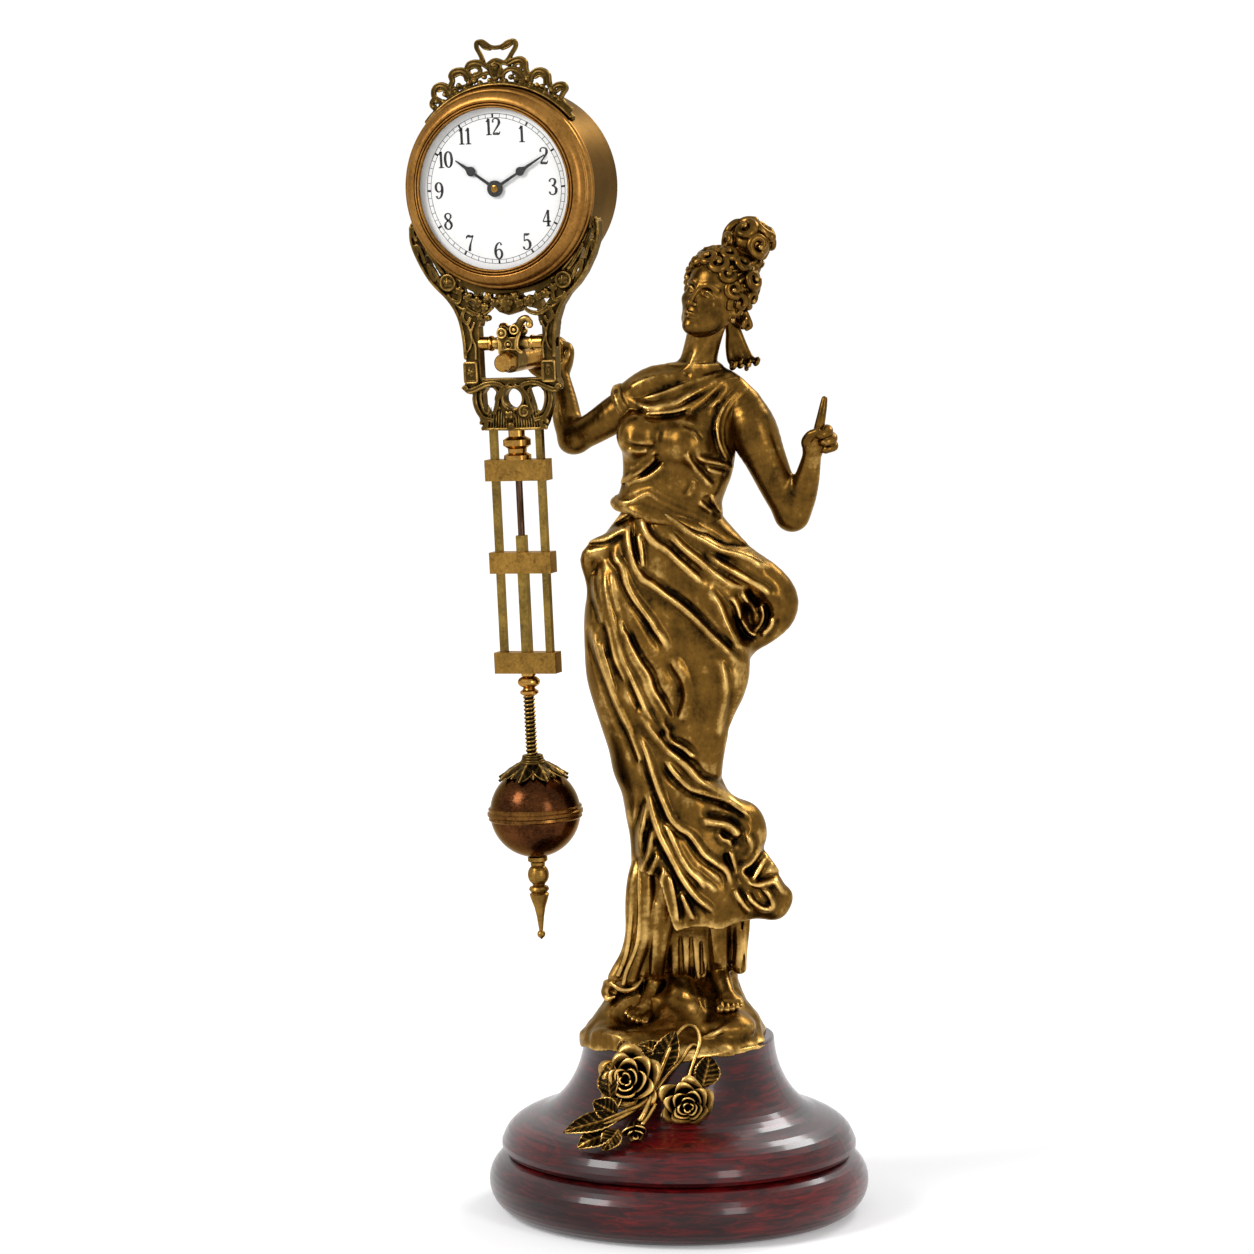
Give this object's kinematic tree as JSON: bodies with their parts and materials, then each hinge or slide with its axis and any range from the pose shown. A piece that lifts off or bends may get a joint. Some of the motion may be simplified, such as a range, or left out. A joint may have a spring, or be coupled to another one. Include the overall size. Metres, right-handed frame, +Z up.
{
  "type": "swinging arm mystery clock",
  "caption": "Mystery clock: a robed bronze figure on a round wooden base holds up a swinging arm with a round clock head above and a ball pendulum below.",
  "frame": {"origin": "middle of the base's underside, where it rests", "axes": "+Z up, -Y the way the dial faces, +X to the right as seen from the front"},
  "size_m": [0.2743, 0.232, 0.7127],
  "materials": {
    "mahogany": "glossy dark red mahogany lacquer with fine grain",
    "green_felt": "dark green felt",
    "bronze": "antique bronze, rubbed gold on high points, dark olive brown in hollows",
    "satin_bronze": "satin brown-gold bronze with darker edges",
    "dark_bronze": "dark patinated bronze",
    "copper_bronze": "polished dark copper brown with fine scratches",
    "aged_brass": "aged olive brass with small marks",
    "bright_brass": "polished brass",
    "movement_brass": "brushed brass",
    "dark_rod": "dark oxidised steel",
    "steel": "plain steel",
    "clear_glass": "clear flat glass",
    "white_enamel": "white dial enamel with black printed numerals",
    "black_hands": "black lacquered steel",
    "cast_weight": "rough cast iron"
  },
  "bodies": {
    "root": {"wooden_base": "mahogany", "base_felt": "green_felt", "fixing_stud": "steel", "fixing_nut": "steel", "fixing_washer": "steel", "rock_mound": "bronze", "figure_body": "bronze", "figure_head": "bronze", "right_arm": "bronze", "left_arm": "bronze", "rose_spray": "bronze", "hand_bracket": "bright_brass", "spindle_nut": "bright_brass"},
    "saddle": {"saddle": "bronze", "crossbar": "steel", "saddle_screws": "bright_brass"},
    "swing_arm": {"swing_frame": "bronze", "crest": "bronze", "pivot_collars": "bright_brass", "case_drum": "satin_bronze", "bezel": "satin_bronze", "dial_glass": "clear_glass", "dial": "white_enamel", "back_cover": "dark_bronze", "front_plate": "movement_brass", "back_plate": "movement_brass", "plate_pillars": "movement_brass", "movement_screws": "steel", "upper_ferrule": "bright_brass", "upper_block": "aged_brass", "middle_block": "aged_brass", "lower_block": "aged_brass", "side_rods": "aged_brass", "centre_rod": "dark_rod", "centre_sleeve": "aged_brass", "lower_ferrule": "bright_brass", "threaded_rod": "aged_brass"},
    "bob": {"leaf_cap": "bronze", "bob_shells": "copper_bronze", "bob_band": "aged_brass", "bob_core": "cast_weight"},
    "rating_nut": {"rating_nut": "aged_brass"},
    "minute_work": {"minute_hand": "black_hands", "hand_nut": "bright_brass", "cannon_pinion": "steel", "centre_wheel": "movement_brass", "setting_knob": "movement_brass"},
    "hour_work": {"hour_hand": "black_hands", "hour_wheel": "movement_brass"},
    "minute_wheel": {"minute_wheel": "movement_brass"},
    "mainspring_barrel": {"mainspring_barrel": "movement_brass", "mainspring": "steel"},
    "intermediate_wheel": {"intermediate_wheel": "movement_brass"},
    "third_wheel": {"third_wheel": "movement_brass"},
    "escape_wheel": {"escape_wheel": "movement_brass"},
    "pallets": {"pallet_anchor": "steel", "inner_pendulum": "movement_brass"},
    "winding_arbor": {"winding_arbor": "steel", "ratchet_wheel": "steel"},
    "click": {"click": "steel"}
  },
  "joints": [
    {"name": "arm_swing", "type": "hinge", "parent": "root", "child": "saddle", "pos_m": [-0.09284, -0.038, 0.51911], "axis": [0, -1, 0], "range_deg": [-7.9, 2.1]},
    {"name": "arm_nod", "type": "hinge", "parent": "saddle", "child": "swing_arm", "pos_m": [-0.0934, -0.038, 0.5301], "axis": [0.9987, 0, 0.0506], "range_deg": [-3, 3]},
    {"name": "hands_turn", "type": "hinge", "parent": "swing_arm", "child": "minute_work", "pos_m": [-0.09811, -0.038, 0.62298], "axis": [0, 1, 0], "continuous": true},
    {"name": "hour_turn", "type": "hinge", "parent": "swing_arm", "child": "hour_work", "pos_m": [-0.09811, -0.049, 0.62298], "axis": [0, 1, 0], "continuous": true},
    {"name": "minute_wheel_turn", "type": "hinge", "parent": "swing_arm", "child": "minute_wheel", "pos_m": [-0.10916, -0.048, 0.61831], "axis": [0, 1, 0], "continuous": true},
    {"name": "barrel_turn", "type": "hinge", "parent": "swing_arm", "child": "mainspring_barrel", "pos_m": [-0.09669, -0.033, 0.59507], "axis": [0, 1, 0], "continuous": true},
    {"name": "intermediate_turn", "type": "hinge", "parent": "swing_arm", "child": "intermediate_wheel", "pos_m": [-0.07941, -0.035, 0.61341], "axis": [0, 1, 0], "continuous": true},
    {"name": "third_turn", "type": "hinge", "parent": "swing_arm", "child": "third_wheel", "pos_m": [-0.11036, -0.033, 0.63617], "axis": [0, 1, 0], "continuous": true},
    {"name": "escape_turn", "type": "hinge", "parent": "swing_arm", "child": "escape_wheel", "pos_m": [-0.09943, -0.033, 0.64908], "axis": [0, 1, 0], "continuous": true},
    {"name": "pallet_rock", "type": "hinge", "parent": "swing_arm", "child": "pallets", "pos_m": [-0.10011, -0.028, 0.66256], "axis": [0, 1, 0], "range_deg": [-3.5, 3.5]},
    {"name": "winding_turn", "type": "hinge", "parent": "swing_arm", "child": "winding_arbor", "pos_m": [-0.09669, -0.018, 0.59507], "axis": [0, 1, 0], "continuous": true},
    {"name": "click_lift", "type": "hinge", "parent": "swing_arm", "child": "click", "pos_m": [-0.08651, -0.0225, 0.6016], "axis": [0, 1, 0], "range_deg": [0, 15]},
    {"name": "bob_slide", "type": "slide", "parent": "swing_arm", "child": "bob", "axis": [-0.0506, 0, 0.9987], "range_m": [-0.003, 0.003]},
    {"name": "rating_turn", "type": "hinge", "parent": "bob", "child": "rating_nut", "pos_m": [-0.07721, -0.038, 0.21051], "axis": [-0.0506, 0, 0.9987], "range_deg": [-1090, 1090]}
  ],
  "couplings": [
    {"joint": "hour_turn", "follows": "hands_turn", "ratio": 0.083333},
    {"joint": "minute_wheel_turn", "follows": "hands_turn", "ratio": -0.33333},
    {"joint": "intermediate_turn", "follows": "hands_turn", "ratio": -0.16667},
    {"joint": "barrel_turn", "follows": "hands_turn", "ratio": 0.027778},
    {"joint": "third_turn", "follows": "hands_turn", "ratio": -8},
    {"joint": "escape_turn", "follows": "hands_turn", "ratio": 64},
    {"joint": "rating_turn", "follows": "bob_slide", "rad_per_m": 6283.2}
  ]
}
